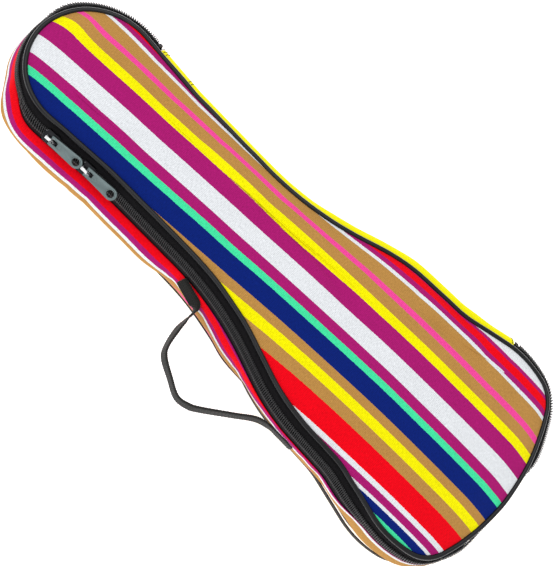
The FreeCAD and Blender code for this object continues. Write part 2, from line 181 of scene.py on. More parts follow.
def seam_point(runs, distance):
    """The seam's point at a distance along it, and the direction outward from it."""
    for length, kind, a, b, a0, turn in runs:
        if distance <= length or (length, kind, a, b, a0, turn) == runs[-1]:
            if kind == "line":
                return a + b * distance, Vector((b.y, -b.x))
            angle = a0 + turn * distance / b
            spoke = Vector((math.cos(angle), math.sin(angle)))
            return a + spoke * b, spoke * turn
        distance -= length


runs = seam_runs(seam_corners)
seam_length = sum(run[0] for run in runs)
seam = [seam_point(runs, seam_length * i / STATIONS) for i in range(STATIONS)]
piping_low, piping_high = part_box("front_piping")
seam_z = (piping_low.z + piping_high.z) / 2 - 0.0002
lid_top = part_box("front_outer_fabric")[1].z


def smooth(low, high, value):
    """A soft step from 0 at low to 1 at high."""
    t = min(max((value - low) / (high - low), 0.0), 1.0)
    return t * t * (3 - 2 * t)


def wrap(name, profile, covers=None, closed=False):
    """A band laid round the seam, ring by ring: profile(station) gives its (out, z) points."""
    bpy.ops.object.select_all(action="DESELECT")
    bpy.ops.mesh.primitive_circle_add(vertices=STATIONS, radius=0.1)
    band = bpy.context.active_object
    band.name = band.data.name = name
    sections = [profile(station) for station in range(STATIONS)]
    if closed:
        sections = [section + section[:1] for section in sections]
    bpy.ops.object.mode_set(mode="EDIT")
    mesh = bmesh.from_edit_mesh(band.data)
    number = mesh.verts.layers.int.new("station")
    width = mesh.verts.layers.float.new("across")
    row = mesh.verts.layers.int.new("row")
    mesh.verts.ensure_lookup_table()
    for i, vertex in enumerate(mesh.verts):
        vertex[number] = i
        vertex.select = covers is not None and not covers(i)
    mesh.select_flush_mode()
    bmesh.update_edit_mesh(band.data)
    if covers is not None:
        bpy.ops.mesh.delete(type="VERT")
    bpy.ops.mesh.select_all(action="SELECT")
    for ring in range(len(sections[0])):
        if ring:
            bpy.ops.mesh.extrude_edges_move()
        mesh = bmesh.from_edit_mesh(band.data)
        number = mesh.verts.layers.int["station"]
        width = mesh.verts.layers.float["across"]
        row = mesh.verts.layers.int["row"]
        for vertex in mesh.verts:
            if vertex.select:
                vertex[row] = ring
                section = sections[vertex[number]]
                out, z = section[ring]
                point, outward = seam[vertex[number]]
                vertex.co = (point.x + outward.x * out, point.y + outward.y * out, z)
                if ring:
                    last_out, last_z = section[ring - 1]
                    vertex[width] += math.hypot(out - last_out, z - last_z)
        bmesh.update_edit_mesh(band.data)
    lay_cloth(band)
    bpy.ops.object.mode_set(mode="EDIT")
    bpy.ops.mesh.select_all(action="SELECT")
    bpy.ops.mesh.remove_doubles(threshold=0.00001)
    if closed and covers is not None:
        bpy.ops.mesh.select_all(action="DESELECT")
        bpy.ops.mesh.select_non_manifold()
        bpy.ops.mesh.edge_face_add()
    bpy.ops.mesh.select_all(action="SELECT")
    bpy.ops.mesh.normals_make_consistent(inside=False)
    bpy.ops.object.mode_set(mode="OBJECT")
    bpy.ops.object.shade_smooth()
    return band


def lay_cloth(band):
    """UV map "cloth", in metres: how far across the band, and how far along the seam."""
    bpy.ops.object.mode_set(mode="OBJECT")
    mesh = band.data
    mesh.uv_layers.new(name="cloth")
    number = mesh.attributes["station"].data
    width = mesh.attributes["across"].data
    cloth = mesh.uv_layers["cloth"].data
    for face in mesh.polygons:
        ends = [number[mesh.loops[k].vertex_index].value for k in face.loop_indices]
        wraps = max(ends) - min(ends) > STATIONS / 2
        for k, station in zip(face.loop_indices, ends):
            if wraps and station < STATIONS / 2:
                station += STATIONS
            vertex = mesh.loops[k].vertex_index
            cloth[k].uv = (width[vertex].value, station * seam_length / STATIONS)


def take(piece):
    """Selects one piece alone and makes it the active one."""
    bpy.ops.object.select_all(action="DESELECT")
    bpy.context.view_layer.objects.active = piece
    piece.select_set(True)


def plump(pad, sewn, pressure, slack, cap):
    """Blows a padded piece up as cloth, held at its sewn points, and caps how far a point moves."""
    rest = [vertex.co.copy() for vertex in pad.data.vertices]
    held = pad.vertex_groups.new(name="sewn")
    held.add(sewn, 1.0, "REPLACE")
    cloth = pad.modifiers.new("plump", "CLOTH")
    cloth.settings.quality = 4
    cloth.settings.mass = 0.25
    cloth.settings.tension_stiffness = 30
    cloth.settings.compression_stiffness = 30
    cloth.settings.bending_stiffness = 4.0
    cloth.settings.use_pressure = True
    cloth.settings.uniform_pressure_force = pressure
    cloth.settings.vertex_group_mass = "sewn"
    cloth.settings.shrink_min = -slack
    cloth.settings.effector_weights.gravity = 0
    cloth.collision_settings.use_collision = False
    cloth.point_cache.frame_start = 1
    cloth.point_cache.frame_end = 20
    for step in range(1, 21):
        scene.frame_set(step)
    take(pad)
    bpy.ops.object.modifier_apply(modifier="plump")
    scene.frame_set(1)
    for vertex, start in zip(pad.data.vertices, rest):
        moved = vertex.co - start
        if moved.length > cap:
            vertex.co = start + moved.normalized() * (cap + (moved.length - cap) * 0.15)
    pad.vertex_groups.clear()


def finer(piece, levels=1):
    """Subdivides a finished cloth surface and applies it."""
    rounding = piece.modifiers.new("finer", "SUBSURF")
    rounding.levels = rounding.render_levels = levels
    take(piece)
    bpy.ops.object.modifier_apply(modifier="finer")


def stripe_edge(y):
    """Where the left edge of the middle white stripe crosses the lid at height y."""
    t = y + 0.130
    return -0.0018 - 0.0675 * (t + math.sqrt(t * t + 0.0036)) / 2


def lid_cloth(point):
    """Cloth coordinates on the lid: distance from the middle white stripe, and distance up."""
    across = point.x - stripe_edge(point.y)
    squeeze = 0.0095 * math.exp(-(((point.y - 0.09) / 0.15) ** 2))
    across += squeeze * smooth(0.052, 0.066, across)
    ruck = math.exp(-(((point.y - 0.257) / 0.014) ** 2) - ((across - 0.050) / 0.020) ** 2)
    return across - 0.0042 * ruck, point.y


def crown(station):
    """The lid's rise inward from its seam."""
    rise = lid_top - seam_z
    steps = [(0.0012, 0.0), (0.0, 0.10), (-0.0018, 0.24), (-0.0045, 0.40), (-0.0085, 0.56)]
    steps += [(-0.0135, 0.70), (-0.0190, 0.80), (-0.0255, 0.87)]
    return [(out, seam_z + 0.0002 + rise * share) for out, share in steps]


def fill_middle(panel, unevenness):
    """Fills a panel inside its last ring with an even grid of squares, and lays its cloth."""
    last = max(row.value for row in panel.data.attributes["row"].data)
    edged = len(panel.data.vertices)
    bpy.ops.object.mode_set(mode="EDIT")
    bpy.ops.mesh.select_mode(type="EDGE")
    mesh = bmesh.from_edit_mesh(panel.data)
    row = mesh.verts.layers.int["row"]
    for edge in mesh.edges:
        edge.select = all(vertex[row] == last for vertex in edge.verts)
    mesh.select_flush_mode()
    bmesh.update_edit_mesh(panel.data)
    bpy.ops.mesh.fill_grid(span=34)
    bpy.ops.mesh.select_mode(type="VERT")
    bpy.ops.object.mode_set(mode="OBJECT")
    bpy.ops.object.shade_smooth()
    middle = list(panel.data.vertices)[edged:]
    for vertex in middle:
        vertex.co.z += unevenness * noise.noise(vertex.co * 22)
    cloth = panel.data.uv_layers["cloth"].data
    for loop in panel.data.loops:
        cloth[loop.index].uv = lid_cloth(panel.data.vertices[loop.vertex_index].co)


lid_panel = wrap("lid_panel", crown)
fill_middle(lid_panel, 0.0006)
bpy.ops.object.mode_set(mode="EDIT")
bpy.ops.mesh.select_all(action="SELECT")
bpy.ops.mesh.normals_make_consistent(inside=False)
bpy.ops.object.mode_set(mode="OBJECT")
rim = [v.index for v in lid_panel.data.vertices if v.co.z < seam_z + 0.0016]
plump(lid_panel, rim, 1.6, 0.0015, 0.0014)
finer(lid_panel)
bpy.ops.object.mode_set(mode="EDIT")
bpy.ops.mesh.select_mode(type="EDGE")
bpy.ops.mesh.select_all(action="DESELECT")
bpy.ops.mesh.select_non_manifold()
bpy.ops.mesh.extrude_edges_move(TRANSFORM_OT_translate={"value": (0, 0, -0.0058)})
bpy.ops.mesh.edge_face_add()
bpy.ops.object.mode_set(mode="OBJECT")
bpy.ops.object.shade_smooth_by_angle(angle=math.radians(50))

# The cotton's stripes in the order they are woven, by where each starts across the cloth, in
# millimetres from the left edge of the middle white stripe.
dyes = {
    "magenta": (174, 26, 114),
    "red": (244, 2, 24),
    "yellow": (252, 244, 0),
    "tan": (190, 141, 74),
    "navy": (8, 34, 118),
    "green": (70, 232, 166),
    "white": (233, 236, 240),
    "pink": (248, 76, 160),
}
stripes = [
    (-110.0, "green"), (-94.6, "navy"), (-88.9, "white"), (-86.4, "magenta"),
    (-80.0, "white"), (-75.9, "red"), (-58.0, "tan"), (-48.0, "yellow"),
    (-39.0, "tan"), (-31.1, "navy"), (-16.2, "green"), (-10.2, "magenta"),
    (0.0, "white"), (16.0, "magenta"), (32.2, "yellow"), (40.6, "tan"),
    (50.8, "pink"), (56.8, "tan"), (72.2, "white"), (75.7, "magenta"),
    (81.5, "red"), (88.6, "magenta"), (92.6, "white"), (105.0, "navy"),
]
REPEAT = 220.0


def dye(rgb):
    """A colour of 0 to 255 as linear light."""
    return tuple(((c / 255 + 0.055) / 1.055) ** 2.4 if c > 10 else c / 3294 for c in rgb) + (1,)


def group(name, inputs, outputs):
    """A new shader node group with named sockets, and its input and output nodes."""
    tree = bpy.data.node_groups.new(name, "ShaderNodeTree")
    kinds = {"value": "NodeSocketFloat", "colour": "NodeSocketColor", "vector": "NodeSocketVector"}
    for label, kind, start in inputs:
        socket = tree.interface.new_socket(label, in_out="INPUT", socket_type=kinds[kind])
        if start is not None:
            socket.default_value = start
    for label, kind in outputs:
        tree.interface.new_socket(label, in_out="OUTPUT", socket_type=kinds[kind])
    return tree, tree.nodes.new("NodeGroupInput"), tree.nodes.new("NodeGroupOutput")


def math_node(tree, operation, a, b=None, clamp=False):
    """A Math node fed by sockets or numbers; returns its output socket."""
    node = tree.nodes.new("ShaderNodeMath")
    node.operation = operation
    node.use_clamp = clamp
    for slot, value in zip(node.inputs, (a, b)):
        if isinstance(value, (int, float)):
            slot.default_value = value
        elif value is not None:
            tree.links.new(value, slot)
    return node.outputs[0]


def mix_colour(tree, factor, a, b, blend="MIX"):
    """A colour Mix node fed by sockets or values; returns its output socket."""
    node = tree.nodes.new("ShaderNodeMix")
    node.data_type = "RGBA"
    node.blend_type = blend
    for slot, value in ((node.inputs[0], factor), (node.inputs[6], a), (node.inputs[7], b)):
        if isinstance(value, bpy.types.NodeSocket):
            tree.links.new(value, slot)
        else:
            slot.default_value = value
    return node.outputs[2]


def noise_node(tree, vector, scale, detail=2.0):
    """A Noise node on a vector socket; returns its grey output."""
    node = tree.nodes.new("ShaderNodeTexNoise")
    node.inputs["Scale"].default_value = scale
    node.inputs["Detail"].default_value = detail
    tree.links.new(vector, node.inputs["Vector"])
    return node.outputs["Fac"]


def relief(tree, shader, height, distance, strength=1.0):
    """Raises the shader's surface by a height socket, through a Bump node."""
    bump = tree.nodes.new("ShaderNodeBump")
    bump.inputs["Distance"].default_value = distance
    bump.inputs["Strength"].default_value = strength
    tree.links.new(height, bump.inputs["Height"])
    tree.links.new(bump.outputs["Normal"], shader.inputs["Normal"])


# Weave: threads both ways on cloth coordinates in metres, with slubs in the thread and a soft
# unevenness in the dye. Height runs from 0 in the gaps to 1 on the threads.
weave, given, result = group(
    "weave",
    [("Cloth", "vector", None), ("Colour", "colour", (1, 1, 1, 1)), ("Pitch", "value", 0.0007),
     ("Fleck", "value", 0.12)],
    [("Colour", "colour"), ("Height", "value")],
)
axes = weave.nodes.new("ShaderNodeSeparateXYZ")
weave.links.new(given.outputs["Cloth"], axes.inputs[0])
turns = math_node(weave, "DIVIDE", math.pi, given.outputs["Pitch"])
warp = math_node(weave, "SINE", math_node(weave, "MULTIPLY", axes.outputs["X"], turns))
weft = math_node(weave, "SINE", math_node(weave, "MULTIPLY", axes.outputs["Y"], turns))
warp = math_node(weave, "ABSOLUTE", warp)
weft = math_node(weave, "ABSOLUTE", weft)
threads = math_node(weave, "MULTIPLY", math_node(weave, "MULTIPLY_ADD", warp, 0.5), weft)
stretched = weave.nodes.new("ShaderNodeMapping")
stretched.inputs["Scale"].default_value = (0.45, 1.6, 1.0)
weave.links.new(given.outputs["Cloth"], stretched.inputs["Vector"])
slub = noise_node(weave, stretched.outputs[0], 900.0, 1.0)
patchy = noise_node(weave, given.outputs["Cloth"], 35.0, 2.0)
light = math_node(weave, "SUBTRACT", slub, 0.5)
light = math_node(weave, "MULTIPLY", light, given.outputs["Fleck"])
light = math_node(weave, "MULTIPLY", light, 4.0)
light = math_node(weave, "ADD", light, math_node(weave, "MULTIPLY", threads, 0.17))
light = math_node(weave, "ADD", light, math_node(weave, "MULTIPLY", patchy, 0.10))
light = math_node(weave, "ADD", light, 0.80)
shade = weave.nodes.new("ShaderNodeCombineColor")
for slot in shade.inputs:
    weave.links.new(light, slot)
tinted = mix_colour(weave, 1.0, given.outputs["Colour"], shade.outputs[0], "MULTIPLY")
weave.links.new(tinted, result.inputs["Colour"])
height = math_node(weave, "ADD", threads, math_node(weave, "MULTIPLY", slub, 0.5))
weave.links.new(height, result.inputs["Height"])


def cloth_material(name, colour, pitch=0.0013, fleck=0.16, sheen=0.03, depth=0.00016, rough=0.9):
    """Woven cloth on the UV map "cloth". colour is a fixed dye, or None to be linked afterwards."""
    material, tree, shader = new_material(name)
    shader.inputs["Roughness"].default_value = rough
    shader.inputs["Specular IOR Level"].default_value = 0.08
    shader.inputs["Sheen Weight"].default_value = sheen
    shader.inputs["Sheen Roughness"].default_value = 0.5
    where = tree.nodes.new("ShaderNodeUVMap")
    where.uv_map = "cloth"
    threads = tree.nodes.new("ShaderNodeGroup")
    threads.node_tree = bpy.data.node_groups["weave"]
    threads.inputs["Pitch"].default_value = pitch
    threads.inputs["Fleck"].default_value = fleck
    if colour is not None:
        threads.inputs["Colour"].default_value = colour
    tree.links.new(where.outputs["UV"], threads.inputs["Cloth"])
    tree.links.new(threads.outputs["Colour"], shader.inputs["Base Color"])
    relief(tree, shader, threads.outputs["Height"], depth, 0.8)
    return material, tree, where, threads


striped, tree, where, threads = cloth_material("striped_cotton", None)
axes = tree.nodes.new("ShaderNodeSeparateXYZ")
tree.links.new(where.outputs["UV"], axes.inputs[0])
picks = tree.nodes.new("ShaderNodeMapping")
picks.inputs["Scale"].default_value = (0.15, 1.0, 1.0)
tree.links.new(where.outputs["UV"], picks.inputs["Vector"])
ragged = noise_node(tree, picks.outputs[0], 1100.0, 1.0)
ragged = math_node(tree, "MULTIPLY", math_node(tree, "SUBTRACT", ragged, 0.5), 0.0009)
across = math_node(tree, "ADD", axes.outputs["X"], ragged)
across = math_node(tree, "DIVIDE", math_node(tree, "ADD", across, REPEAT / 2000), REPEAT / 1000)
across = math_node(tree, "FRACT", across)
ramp = tree.nodes.new("ShaderNodeValToRGB")
ramp.color_ramp.interpolation = "CONSTANT"
while len(ramp.color_ramp.elements) < len(stripes):
    ramp.color_ramp.elements.new(0.5)
for stop in ramp.color_ramp.elements:
    stop.position = 0.0
for stop, (start, name) in reversed(list(zip(ramp.color_ramp.elements, stripes))):
    stop.position = start / REPEAT + 0.5
    stop.color = dye(dyes[name])
tree.links.new(across, ramp.inputs[0])
tree.links.new(ramp.outputs["Color"], threads.inputs["Colour"])


def finish_piece(piece, material, body, slot, *nodes):
    """Gives a piece its material and its body, and hides the CAD nodes it stands for. slot is not used."""
    piece.data.materials.clear()
    piece.data.materials.append(material)
    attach(piece, body)
    if nodes:
        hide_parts(*nodes)


finish_piece(lid_panel, striped, "lid", "striped_cotton", "front_outer_fabric", "front_foam")

# ---- Lid lining ----
# Plain black cloth behind the foam, a little slack, caught in the same seam. It shows when the
# lid is open.
black_cloth = cloth_material("lining", dye((30, 30, 33)), pitch=0.0008, fleck=0.2)[0]
lining_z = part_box("front_lining")[0].z
LINING = 0.0005


def lid_lining_line(station):
    level = lining_z + 0.0004
    return [(-0.0008, level + 0.0008), (-0.004, level + 0.0002), (-0.012, level), (-0.026, level)]


def thick(piece):
    """Gives a lining its thickness, half to each side, and applies it."""
    layer = piece.modifiers.new("layer", "SOLIDIFY")
    layer.thickness = LINING
    layer.offset = 0
    take(piece)
    bpy.ops.object.modifier_apply(modifier="layer")


lid_lining = wrap("lid_lining_cloth", lid_lining_line)
fill_middle(lid_lining, 0.0007)
thick(lid_lining)
finish_piece(lid_lining, black_cloth, "lid", "lining", "front_lining")
seam_x = max(point.x for point, outward in seam)

# ---- Wall ----
# A padded strip of the same cotton that runs right round the bag, cut along the stripes. It
# is sewn to the zip tape at its top hem and to the back panel at its foot, and bellies out.
wall_low, wall_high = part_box("gusset_outer_fabric")
WALL_OUT = wall_high.x - seam_x
foam_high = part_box("gusset_foam")[1]
foam_top = foam_high.z
FOAM = 0.005
pad_in = foam_high.x - FOAM - seam_x
COIL_HALF = 0.0039
COIL_EDGE = COIL_HALF + 0.0001
FOLD_OUT = 0.0036
FOLD_RUN = 0.00487
fold_z = seam_z - 0.0024


def steep(station):
    """The zip's slope below the piping in radians: 45 degrees, and steeper at head and foot."""
    x, y = seam[station][0]
    head = smooth(0.222, 0.246, y) * smooth(0.030, 0.0, x)
    foot = smooth(-0.165, -0.205, y) * smooth(0.045, 0.010, x)
    foot *= 1 - 0.5 * math.exp(-(((x + 0.062) / 0.018) ** 2))
    return math.radians(45 + 29 * head + 35 * foot)


def on_chain(station, across, rise):
    """(out, z) of a point across the zip's chain and above its tape, as it hangs from its fold."""
    slope = steep(station)
    first = 1.2 * slope - math.radians(22.1)
    out = FOLD_OUT + FOLD_RUN * math.cos(first) + (across + COIL_EDGE) * math.cos(slope)
    z = fold_z - FOLD_RUN * math.sin(first) - (across + COIL_EDGE) * math.sin(slope)
    return out + rise * math.sin(slope), z + rise * math.cos(slope)


def tuck(station):
    """How far the wall's hem is drawn in, to meet the zip where it hangs steeply."""
    return WALL_OUT - 0.0013 - on_chain(station, COIL_HALF, 0)[0]


def belly(station):
    """How far the wall bulges: most beside the neck and head, where little fills the bag."""
    x, y = seam[station][0]
    end = smooth(0.236, 0.262, y)
    ripple = 0.0009 * noise.noise((y * 30, x * 30, 0))
    left = 0.15 + 0.85 * smooth(0.020, -0.030, x)
    swell = 0.0006 + 0.0036 * smooth(-0.065, -0.015, y) + 0.0066 * smooth(0.040, 0.090, y)
    return swell * (1 - 0.9 * end) * left + ripple


def lean(station):
    """How far the wall's foot is drawn in: the back is smaller than the lid but for its ends."""
    x, y = seam[station][0]
    body = 0.011 * smooth(-0.020, -0.070, y) + 0.010 * smooth(-0.125, -0.190, y)
    body -= 0.002 * math.exp(-(((y + 0.140) / 0.025) ** 2))
    head = 0.005 * smooth(0.195, 0.225, y)
    return (0.0015 + body + head) * smooth(-0.270, -0.245, y) * smooth(0.268, 0.250, y)


def wall_line(station):
    """The wall's section: down its outside from hem to foot, and up the foam's inside."""
    top, foot = wall_high.z, wall_low.z
    tucked, bulge, drawn = tuck(station), belly(station), lean(station)
    out = WALL_OUT - tucked
    line = [(out - 0.0009, top - 0.0006), (out - 0.0008, top), (out - 0.0003, top + 0.0003)]
    line += [(out + 0.0002, top)]
    for step in range(1, 15):
        t = step / 14
        swell = bulge * math.sin(math.pi * t ** 0.7)
        line.append((WALL_OUT - tucked * smooth(0.5, 0.0, t) + swell - drawn * t ** 1.8,
                     top - (top - foot) * t))
    line += [(WALL_OUT - 0.0010 - drawn, foot - 0.0007)]
    line += [(WALL_OUT - 0.0030 - drawn, foot - 0.0009)]
    line += [(pad_in - drawn, foot + 0.0004), (pad_in - drawn * 0.6, foot + 0.012)]
    line += [(pad_in - tucked, foam_top - 0.012), (pad_in - tucked, foam_top - 0.0003)]
    line += [(out - 0.0012, foam_top + 0.0001), (out - 0.0010, foam_top + 0.002)]
    return line


def wall_cloth(piece):
    """Stripes run along the wall, and creep a little along its length where it was cut askew."""
    cloth = piece.data.uv_layers["cloth"].data
    for face in piece.data.polygons:
        for k in face.loop_indices:
            down, along = cloth[k].uv
            y = piece.data.vertices[piece.data.loops[k].vertex_index].co.y
            top = 0.0900 + 0.0025 * math.exp(-(((y + 0.02) / 0.03) ** 2))
            top -= 0.0065 * smooth(-0.045, -0.080, y) + 0.0048 * smooth(-0.125, -0.185, y)
            cloth[k].uv = (top - down, along)


wall_pad = wrap("wall_pad", wall_line, closed=True)
free = [0.004 < w.value < 0.041 for w in wall_pad.data.attributes["across"].data]
plump(wall_pad, [i for i, loose in enumerate(free) if not loose], 1.5, 0.003, 0.0010)
wall_cloth(wall_pad)
finer(wall_pad)
finish_piece(wall_pad, striped, "base", "striped_cotton", "gusset_outer_fabric", "gusset_foam")

# ---- Wall lining ----
# The same black cloth on the inside of the wall, from the back panel up to the foam's top.
wall_lining_low, wall_lining_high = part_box("gusset_lining")


def wall_lining_line(station):
    top, foot = wall_lining_high.z, wall_lining_low.z
    ripple = 0.0004 * noise.noise((station * 0.15, 0, 0))
    drawn = lean(station)
    high = pad_in - 0.0007 - tuck(station)
    low = pad_in - 0.0007
    return [(high + 0.0004, top + 0.0004), (high, top), (high - ripple, top - 0.010),
            (low + ripple - drawn * 0.6, foot + 0.012), (low - drawn, foot),
            (low - 0.0005 - drawn, foot), (low - 0.0005 - drawn * 0.6 + ripple, foot + 0.012),
            (high - 0.0005 - ripple, top - 0.010), (high - 0.0004, top + 0.0002)]


wall_lining = wrap("wall_lining_cloth", wall_lining_line, closed=True)
finish_piece(wall_lining, black_cloth, "base", "lining", "gusset_lining")

# ---- Back panel ----
# Striped cotton over foam, flat where the bag lies on it and turned up at the edge to meet the
# wall. It is cut in the lid's outline, but smaller beside the body and the head.
back_foam_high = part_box("back_foam")[1]
back_flat = back_foam_high.x - seam_x


def back_line(station):
    drawn = lean(station)
    edge = WALL_OUT - 0.0018 - drawn
    line = [(back_flat - drawn, back_foam_high.z), (edge - 0.0016, 0.0046), (edge, 0.0040)]
    line += [(edge - 0.0002, 0.0030), (edge - 0.0016, 0.0019), (edge - 0.0034, 0.0009)]
    line += [(edge - 0.0055, 0.0002), (edge - 0.0085, 0.0), (0.0005, 0.0), (-0.012, 0.0)]
    return line + [(-0.026, 0.0)]


back_pad = wrap("back_pad", back_line)
fill_middle(back_pad, 0.0)
bpy.ops.object.mode_set(mode="EDIT")
bpy.ops.mesh.select_mode(type="EDGE")
bpy.ops.mesh.select_all(action="DESELECT")
bpy.ops.mesh.select_non_manifold()
bpy.ops.mesh.edge_face_add()
bpy.ops.mesh.select_mode(type="VERT")
bpy.ops.mesh.select_all(action="SELECT")
bpy.ops.mesh.normals_make_consistent(inside=False)
bpy.ops.object.mode_set(mode="OBJECT")
finish_piece(back_pad, striped, "base", "striped_cotton", "back_outer_fabric", "back_foam")

back_lining_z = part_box("back_lining")[0].z


def back_lining_line(station):
    level = back_lining_z + 0.0003
    edge = back_flat - lean(station) - 0.0002
    return [(edge, level), (edge - 0.004, level), (edge - 0.012, level), (-0.026, level)]


back_lining = wrap("back_lining_cloth", back_lining_line)
fill_middle(back_lining, 0.0003)
thick(back_lining)
finish_piece(back_lining, black_cloth, "base", "lining", "back_lining")

# ---- Piping ----
# Black vinyl wrapped round a cord and sewn into the front seam and round the foot of the wall.
# It wavers slightly where it is caught unevenly.
vinyl, tree, shader = new_material("piping_vinyl")
shader.inputs["Roughness"].default_value = 0.24
shader.inputs["Specular IOR Level"].default_value = 0.28
where = tree.nodes.new("ShaderNodeTexCoord")
grain = noise_node(tree, where.outputs["Object"], 1500.0, 3.0)
blotch = noise_node(tree, where.outputs["Object"], 60.0, 2.0)
tone = mix_colour(tree, blotch, dye((12, 12, 14)), dye((22, 23, 27)))
tree.links.new(tone, shader.inputs["Base Color"])
relief(tree, shader, grain, 0.00006, 0.5)
CORD_SIDES = 12
WAVER = 0.0003


def cord_line(centre_out, centre_z, radius):
    """The section of a piped edge at each station: a ring of points that wanders a little."""
    def line(station):
        round_bag = station * math.tau / STATIONS
        spot = (math.cos(round_bag) * 9, math.sin(round_bag) * 9, 0)
        out = centre_out(station) + WAVER * noise.noise(spot)
        z = centre_z + WAVER * noise.noise((spot[1], spot[0], 5))
        turns = [side * math.tau / CORD_SIDES for side in range(CORD_SIDES)]
        return [(out + radius * math.cos(turn), z + radius * math.sin(turn)) for turn in turns]
    return line


front_r = (piping_high.z - piping_low.z) / 2
front_line = cord_line(lambda s: front_r, seam_z + 0.0002, front_r)
front_piping = wrap("front_piping_cord", front_line, closed=True)
finish_piece(front_piping, vinyl, "lid", "piping_vinyl", "front_piping")
back_low, back_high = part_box("back_piping")
back_r = (back_high.z - back_low.z) / 2
back_z = (back_low.z + back_high.z) / 2
foot_line = cord_line(lambda s: WALL_OUT - 0.0015 - lean(s), back_z, back_r)
back_piping = wrap("back_piping_cord", foot_line, closed=True)
finish_piece(back_piping, vinyl, "base", "piping_vinyl", "back_piping")

# ---- Zip tapes ----
# Black woven tape. The lid's half is caught under the piping and slopes down to the coil; the
# wall's half turns down inside the wall's hem.
tape_cloth = cloth_material("zip_tape", dye((26, 25, 27)), pitch=0.0011, fleck=0.30, sheen=0.0,
                            depth=0.0003, rough=0.75)[0]
strip_low, strip_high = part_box("hinge_strip")
TAPE = 0.0008
slack_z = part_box("base_zip_tape")[0].z


def zipped(station):
    """True where the zip runs: all round but along the cloth hinge on the right."""
    point = seam[station][0]
    return point.x < 0 or point.y > strip_high.y or point.y < strip_low.y


def lid_tape_line(station):
    edge = -COIL_EDGE
    return [(0.0012, fold_z + 0.0002), (FOLD_OUT, fold_z), on_chain(station, edge, 0),
            on_chain(station, -0.0024, 0), on_chain(station, -0.00075, 0),
            on_chain(station, -0.00075, -TAPE), on_chain(station, -0.0024, -TAPE),
            on_chain(station, edge - 0.0002, -TAPE), (0.0033, fold_z - TAPE),
            (0.0012, fold_z + 0.0002 - TAPE)]


def base_tape_line(station):
    lap = WALL_OUT - 0.0013 - tuck(station)
    bend = on_chain(station, COIL_HALF, 0)[1]
    return [on_chain(station, 0.00075, 0), on_chain(station, 0.0024, 0),
            on_chain(station, COIL_HALF, 0), (lap + 0.0001, bend - 0.0014),
            (lap, (bend + slack_z) / 2), (lap, slack_z), (lap - TAPE, slack_z),
            (lap - TAPE, (bend + slack_z) / 2), (lap - TAPE, bend - 0.0008),
            on_chain(station, 0.0024, -TAPE), on_chain(station, 0.00075, -TAPE)]


lid_tape = wrap("lid_tape", lid_tape_line, zipped, closed=True)
base_tape = wrap("base_tape", base_tape_line, zipped, closed=True)
finish_piece(lid_tape, tape_cloth, "lid", "zip_tape", "lid_zip_tape")
finish_piece(base_tape, tape_cloth, "base", "zip_tape", "base_zip_tape")

# ---- Zip coil ----
# Nylon coil: one rounded loop after another on each tape, sewn down by a thread that crosses
# every loop. The two sides mesh along the middle.
nylon, tree, shader = new_material("zip_coil")
shader.inputs["Roughness"].default_value = 0.35
shader.inputs["Specular IOR Level"].default_value = 0.4
where = tree.nodes.new("ShaderNodeTexCoord")
speck = noise_node(tree, where.outputs["Object"], 900.0, 1.0)
tone = mix_colour(tree, speck, dye((20, 20, 21)), dye((62, 61, 63)))
tree.links.new(tone, shader.inputs["Base Color"])

bpy.ops.object.select_all(action="DESELECT")
LOOP_HALF = 0.0017
bpy.ops.mesh.primitive_cylinder_add(vertices=8, radius=0.00058, depth=LOOP_HALF * 2,
                                    rotation=(0, math.pi / 2, 0))
tooth = bpy.context.active_object
tooth.name = "coil_loop"
bpy.ops.object.transform_apply(location=False, rotation=True, scale=False)
bpy.ops.object.mode_set(mode="EDIT")
bpy.ops.mesh.select_mode(type="FACE")
mesh = bmesh.from_edit_mesh(tooth.data)
for face in mesh.faces:
    face.select = abs(face.normal.x) > 0.9
bmesh.update_edit_mesh(tooth.data)
bpy.ops.mesh.inset(thickness=0.0002)
bpy.ops.mesh.select_mode(type="VERT")
mesh = bmesh.from_edit_mesh(tooth.data)
for vertex in mesh.verts:
    if vertex.select:
        vertex.co.x *= 1.13
    vertex.co.z *= 1.75 - 0.25 * (vertex.co.x / LOOP_HALF) ** 2
bmesh.update_edit_mesh(tooth.data)
bpy.ops.object.mode_set(mode="OBJECT")
bpy.ops.mesh.primitive_ico_sphere_add(subdivisions=1, radius=0.00042,
                                      location=(0.0007, 0.00087, 0.00095))
stitch = bpy.context.active_object
stitch.scale = (0.9, 1.5, 0.6)
bpy.ops.object.transform_apply(location=True, rotation=False, scale=True)
tooth.select_set(True)
bpy.context.view_layer.objects.active = tooth
bpy.ops.object.join()
bpy.ops.object.transform_apply()

PITCH = 0.00175


def coil_side(name, side, offset):
    """Copies the loop along one edge of the chain and returns the joined coil."""
    coil = bpy.data.meshes.new(name)
    growing = bmesh.new()
    for k in range(int(seam_length / PITCH)):
        distance = (k + offset) * PITCH
        station = int(distance / seam_length * STATIONS) % STATIONS
        if not all(zipped((station + step) % STATIONS) for step in (-2, 0, 2)):
            continue
        point, outward = seam_point(runs, distance)
        across_out, across_z = on_chain(station, side * 0.0018, 0.00112)
        ahead = Vector((-outward.y, outward.x, 0))
        down, level = math.sin(steep(station)), math.cos(steep(station))
        across = Vector((outward.x * level, outward.y * level, -down)) * side
        rise = Vector((outward.x * down, outward.y * down, level))
        place = (point + outward * across_out).to_3d() + Vector((0, 0, across_z))
        first = len(growing.verts)
        growing.from_mesh(tooth.data)
        growing.verts.ensure_lookup_table()
        for vertex in growing.verts[first:]:
            x, y, z = vertex.co
            skew = 0.18 * x * side
            vertex.co = place + across * x + ahead * (y + skew) + rise * z
    bmesh.ops.recalc_face_normals(growing, faces=growing.faces)
    growing.to_mesh(coil)
    growing.free()
    piece = bpy.data.objects.new(name, coil)
    scene.collection.objects.link(piece)
    for face in coil.polygons:
        face.use_smooth = True
    return piece


